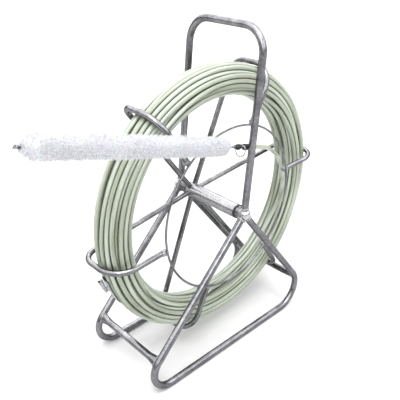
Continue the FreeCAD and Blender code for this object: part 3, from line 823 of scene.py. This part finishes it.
def collar(name, node, ribs):
    """A spacer with turned ribs, in place of the plain CAD ring."""
    low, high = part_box(node)
    start, end, radius = low[1], high[1], (high[0] - low[0]) / 2
    profile = [(start, radius - 0.0012)]
    pitch = (end - start) / ribs
    for i in range(ribs):
        for part, cut in ((0.10, 0.0009), (0.28, 0.0001), (0.62, 0), (0.82, 0.0003), (0.97, 0.0011)):
            profile.append((start + pitch * (i + part), radius - cut))
    profile.append((end, radius - 0.0012))
    turned = lathe(name, profile, (0, 0, AXLE.z), (0, 1, 0), 64, 1.2)
    piece(name, turned, BAR, "stand", [node])


collar("front_collar", "front_axle_spacer", 4)
collar("back_collar", "back_axle_spacer", 9)


def bead(points, size, seed, closed=True):
    """A weld bead along a line: a tube with scalloped ripples and an uneven toe."""
    chance = random.Random(seed)
    count = len(points)
    phase, sizes = chance.uniform(0, TAU), []
    for i in range(count):
        ripple = 0.16 * abs(math.sin(TAU * i / 5.3 + phase)) + chance.uniform(-0.07, 0.07)
        end = 1.0 if closed else min(1.0, 0.35 + 3.0 * min(i, count - 1 - i) / count)
        sizes.append(size * (0.92 + ripple) * end)
    return tube(points, sizes, 10, closed)


def saddle(centre, way, tube_radius, drum_radius, size, seed, steps=56):
    """A bead round a tube that stands on a drum whose axis is Y."""
    way = Vector(way).normalized()
    flat = Vector((way.x, 0, way.z)).normalized()
    across = flat.cross(Vector((0, 1, 0)))
    line = []
    for i in range(steps):
        a = TAU * i / steps
        side = tube_radius * math.sin(a)
        height = math.sqrt(max(0.0, drum_radius ** 2 - side ** 2))
        along_drum = Vector((0, tube_radius * math.cos(a), 0))
        line.append(Vector(centre) + along_drum + across * side + flat * height)
    return bead(line, size, seed)


def lumpy(profile, centre, axis, seed, sides=24):
    """A blob of weld: a turned shape whose surface is pushed in and out at random."""
    chance = random.Random(seed)
    axis = Vector(axis).normalized()
    side, up = basis(axis)
    vertices = []
    waves = [(chance.uniform(2, 4), chance.uniform(0, TAU), chance.uniform(1, 3)) for _ in range(3)]
    for station, radius in profile:
        for step in range(sides):
            a = TAU * step / sides
            dent = 0
            for count, phase, lean in waves:
                dent += math.sin(round(count) * a + phase + lean * station * 500)
            size = radius * (1 + 0.045 * dent)
            vertices.append(Vector(centre) + axis * station + around(side, up, a) * size)
    return vertices, drum_faces(len(profile), sides)


# The ways the three tubes leave a boss: the long leg, the short leg and the handle.
LONG_WAY, SHORT_WAY, HANDLE_WAY = (-0.268, 0, -0.278), (0.222, 0, -0.278), (0.032, 0, 0.3165)
BOSS_BEAD_RADIUS, BOSS_BEAD_SIZE = 0.0122, 0.0016
LONG_BAR_Z, SHORT_BAR_Z = 0.070, 0.068        # heights of the two cross bars
LEG_BEND = 0.045                              # radius of the short leg's bend at the floor
FLAT_END_HALF_LENGTH, FLAT_END_HALF_WIDTH = 0.0100, 0.0036

stand_beads = []
for side_number, y in enumerate((-SIDE_PLANE, SIDE_PLANE)):
    for way_number, way in enumerate((LONG_WAY, SHORT_WAY, HANDLE_WAY)):
        stand_beads.append(saddle(
            (0, y, AXLE.z), way, TUBE_RADIUS, BOSS_BEAD_RADIUS, BOSS_BEAD_SIZE,
            10 * side_number + way_number))


def flat_end_bead(x, height, along, y, seed):
    """A bead round a cross bar's flattened end, where it meets the side of a leg."""
    along = Vector(along).normalized()
    normal = along.cross(Vector((0, 1, 0)))
    sign = 1 if y > 0 else -1
    line = []
    for i in range(60):
        a = TAU * i / 60
        off = FLAT_END_HALF_WIDTH * math.sin(a)
        deep = abs(y) - math.sqrt(TUBE_RADIUS ** 2 - off ** 2) - 0.0002
        middle = Vector((x, sign * deep, height))
        line.append(middle + along * (FLAT_END_HALF_LENGTH * math.cos(a)) + normal * off)
    return bead(line, 0.0011, seed)


long_way = Vector(LONG_WAY)
long_x = long_way.x * (AXLE.z - LONG_BAR_Z) / -long_way.z
# The short leg's bar is welded on the leg's bend, so its place is found from the bend's middle.
bend_x = SHORT_WAY[0] - LEG_BEND / math.tan(math.atan2(-SHORT_WAY[2], SHORT_WAY[0]) / 2)
rise = SHORT_BAR_Z - TUBE_RADIUS - LEG_BEND
run = math.sqrt(LEG_BEND ** 2 - rise ** 2)
for number, y in enumerate((-SIDE_PLANE, SIDE_PLANE)):
    stand_beads.append(flat_end_bead(long_x, LONG_BAR_Z, long_way, y, 40 + number))
    stand_beads.append(flat_end_bead(bend_x + run, SHORT_BAR_Z, (-rise, 0, run), y, 50 + number))
piece("stand_welds", mesh_from("stand_welds", *gather(stand_beads)), WELD, "stand")

FIRST_HOOP, HOOP_PITCH = 7.5, 60              # degrees above +X
FINGER_SKEW = math.atan2(0.008, 0.154)        # a finger's tip is turned this far from its spoke
SPOKE_Y, SPOKE_RADIUS = 0.0488, 0.0050
HUB_BEAD_RADIUS, CAGE_BEAD_SIZE = 0.0128, 0.0012
BLOB_PLACE, BLOB_HALF_LENGTH, BLOB_RADIUS = (0.1585, -0.0480), 0.0068, 0.0064   # place: (radius, y)
BLOB_RINGS = 12
TIP_BEAD_PLACE, TIP_BEAD_HALF_LENGTH, TIP_BEAD_SHIFT = (0.155, -0.0524), 0.0038, 0.0022

blob = []
for ring in range(1, BLOB_RINGS):
    high = math.cos(math.pi * ring / BLOB_RINGS)
    blob.append((BLOB_HALF_LENGTH * high, BLOB_RADIUS * math.sqrt(1 - high * high)))

cage_beads = []
for number in range(6):
    a = math.radians(FIRST_HOOP + HOOP_PITCH * number)
    out = Vector((math.cos(a), 0, math.sin(a)))
    cage_beads.append(saddle(
        (0, SPOKE_Y, AXLE.z), out, SPOKE_RADIUS, HUB_BEAD_RADIUS, CAGE_BEAD_SIZE, 70 + number, 44))
    a += FINGER_SKEW
    out = Vector((math.cos(a), 0, math.sin(a)))
    round_way = Vector((-math.sin(a), 0, math.cos(a)))
    radius, y = BLOB_PLACE
    cage_beads.append(lumpy(
        blob, AXLE + out * radius + Vector((0, y, 0)), out + Vector((0, 0.25, 0)), 120 + number))
    radius, y = TIP_BEAD_PLACE
    for shift in (-TIP_BEAD_SHIFT, TIP_BEAD_SHIFT):
        middle = AXLE + out * (radius + shift) + Vector((0, y, 0))
        line = [middle + round_way * (TIP_BEAD_HALF_LENGTH * (i / 6 - 1)) for i in range(13)]
        cage_beads.append(bead(line, CAGE_BEAD_SIZE, 90 + number, closed=False))
piece("cage_welds", mesh_from("cage_welds", *gather(cage_beads)), WELD, "wheel_cage")


# ---------------------------------------------------------------- finishes on the CAD nodes

FINISH = {
    TUBE: ("front_side_frame", "back_side_frame", "carry_handle",
           "long_leg_cross_bar", "short_leg_cross_bar"),
    WELD: ("front_axle_boss", "back_axle_boss"),
    HARDWARE: ("axle_bolt", "axle_washers", "axle_nut"),
    HUB: ("hub_tube",),
    BAR: ("hoop_1", "hoop_2", "hoop_3", "hoop_4", "hoop_5", "hoop_6", "front_ring"),
    NYLON: ("front_hub_bush", "back_hub_bush"),
    WIRE: ("keeper_ring",),
}
for material, names in FINISH.items():
    for name in names:
        data = NODES[name].data
        data.materials.clear()
        data.materials.append(material)


# ---------------------------------------------------------------- floor and light

FLOOR = 30            # half its side
FLOOR_GAP = 0.0004    # it lies this far under the stand
corners = [(-FLOOR, -FLOOR, 0), (FLOOR, -FLOOR, 0), (FLOOR, FLOOR, 0), (-FLOOR, FLOOR, 0)]
floor_mesh = mesh_from("floor", corners, [(0, 1, 2, 3)], smooth=False)
floor = bpy.data.objects.new("floor", floor_mesh)
floor.location.z = CAD_BOX[0][2] - FLOOR_GAP
floor_mesh.materials.append(floor_material())
bpy.context.collection.objects.link(floor)


def light(name, kind, power, place, way):
    """A light at a place that shines along a way."""
    data = bpy.data.lights.new(name, kind)
    data.energy = power
    made = bpy.data.objects.new(name, data)
    made.location = place
    made.rotation_euler = Vector(way).to_track_quat("-Z", "Y").to_euler()
    bpy.context.collection.objects.link(made)
    return made


def area_light(name, place, size, power, target=(0, 0, 0.28)):
    """A rectangular light that faces a target."""
    made = light(name, "AREA", power, place, Vector(target) - Vector(place))
    made.data.shape = "RECTANGLE"
    made.data.size, made.data.size_y = size
    return made


# The ceiling gives the metal something pale to reflect, and throws no light on matt surfaces.
ceiling = area_light("ceiling", (0, 0, 3.0), (14, 14), 1700, target=(0, 0, 0))
ceiling.visible_diffuse = False
area_light("key", (-2.2, -1.6, 2.4), (0.8, 0.8), 14)
area_light("top", (-0.4, -0.2, 4.0), (4.0, 4.0), 16)
glow = light("sky_glow", "SUN", 2.8, (0, 0, 0), (0.16, 0.20, -1.0))
glow.data.angle = math.radians(40)
area_light("front", (0.6, -2.8, 1.2), (0.5, 1.6), 4)
area_light("back", (1.5, 2.5, 2.3), (2.4, 1.6), 30)

# A pale sky, greyer at the horizon and below it.
world = bpy.data.worlds.new("studio")
world.use_nodes = True
tree = world.node_tree
background = tree.nodes["Background"]
spot = tree.nodes.new("ShaderNodeTexCoord")
split = tree.nodes.new("ShaderNodeSeparateXYZ")
shades = tree.nodes.new("ShaderNodeValToRGB")
tree.links.new(spot.outputs["Generated"], split.inputs[0])
tree.links.new(split.outputs["Z"], shades.inputs["Fac"])
tree.links.new(shades.outputs["Color"], background.inputs["Color"])
horizon, zenith = shades.color_ramp.elements
horizon.position, horizon.color = 0.0, (0.62, 0.62, 0.63, 1)
zenith.position, zenith.color = 0.50, (1.0, 1.0, 1.0, 1)
background.inputs["Strength"].default_value = 0.68
bpy.context.scene.world = world
bpy.context.scene.view_settings.view_transform = "Standard"

bpy.context.view_layer.update()
